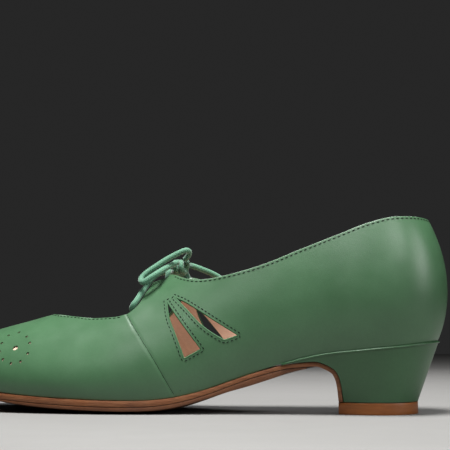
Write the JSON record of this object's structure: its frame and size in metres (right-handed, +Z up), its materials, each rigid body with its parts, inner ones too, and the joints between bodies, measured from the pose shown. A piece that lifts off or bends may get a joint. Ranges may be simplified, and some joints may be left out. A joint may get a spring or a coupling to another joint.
{
  "type": "lace-tie dance shoe",
  "caption": "Left dance shoe with a low covered heel, round toe, open throat, lace-tied tabs and wedge cut-outs on both sides of the waist.",
  "frame": {"origin": "on the floor, under the middle of the shoe's length and width", "axes": "+X from the toe to the heel, +Y to the medial side, +Z up"},
  "size_m": [0.2529, 0.0785, 0.088],
  "materials": {
    "upper_leather": "smooth green leather, semi-gloss",
    "heel_leather": "smooth green leather cover, semi-gloss",
    "sole_leather": "orange-brown sole leather, satin edge",
    "tread_leather": "dark brown tread leather",
    "top_piece_leather": "tan brown stacked tip",
    "insole_leather": "pinkish tan lining leather",
    "lace_cord": "round braided cord, matt"
  },
  "bodies": {
    "root": {"upper": "upper_leather", "insole": "insole_leather", "sole": "sole_leather", "half_sole": "tread_leather", "heel": "heel_leather", "top_piece": "top_piece_leather", "lace_bars": "lace_cord", "lace_knot": "lace_cord", "lace_loop_lateral": "lace_cord", "lace_loop_medial": "lace_cord", "lace_end_front": "lace_cord", "lace_end_rear": "lace_cord"}
  },
  "joints": []
}
